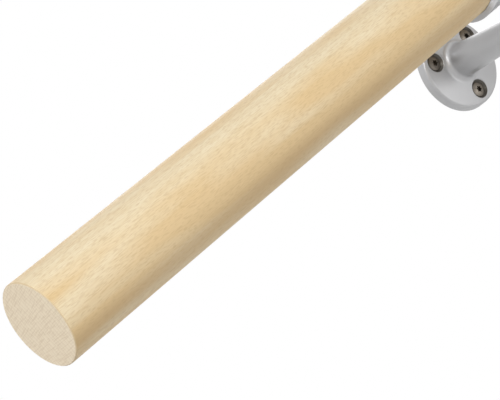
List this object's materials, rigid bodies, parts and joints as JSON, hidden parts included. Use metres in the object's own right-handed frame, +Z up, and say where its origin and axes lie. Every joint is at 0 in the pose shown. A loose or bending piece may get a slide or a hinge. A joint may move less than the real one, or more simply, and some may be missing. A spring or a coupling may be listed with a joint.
{
  "type": "wooden handrail",
  "caption": "Round wooden wall handrail, sawn square at its ends, on cast aluminium brackets with round rosettes and curved saddle plates.",
  "frame": {"origin": "centre of the left rosette's back, on the face of the wall", "axes": "+X along the rail, +Y into the wall, +Z up"},
  "size_m": [1.5, 0.1371, 0.0908],
  "materials": {
    "rail_wood": "fine sanded, clear matt",
    "cast_aluminium": "satin",
    "screw_steel": "dull zinc"
  },
  "bodies": {
    "root": {"handrail_bar": "rail_wood", "left_wall_bracket": "cast_aluminium", "left_saddle_plate": "cast_aluminium", "left_saddle_bolt": "screw_steel", "left_rail_screws": "screw_steel", "left_wall_screws": "screw_steel", "right_wall_bracket": "cast_aluminium", "right_saddle_plate": "cast_aluminium", "right_saddle_bolt": "screw_steel", "right_rail_screws": "screw_steel", "right_wall_screws": "screw_steel"}
  },
  "joints": []
}
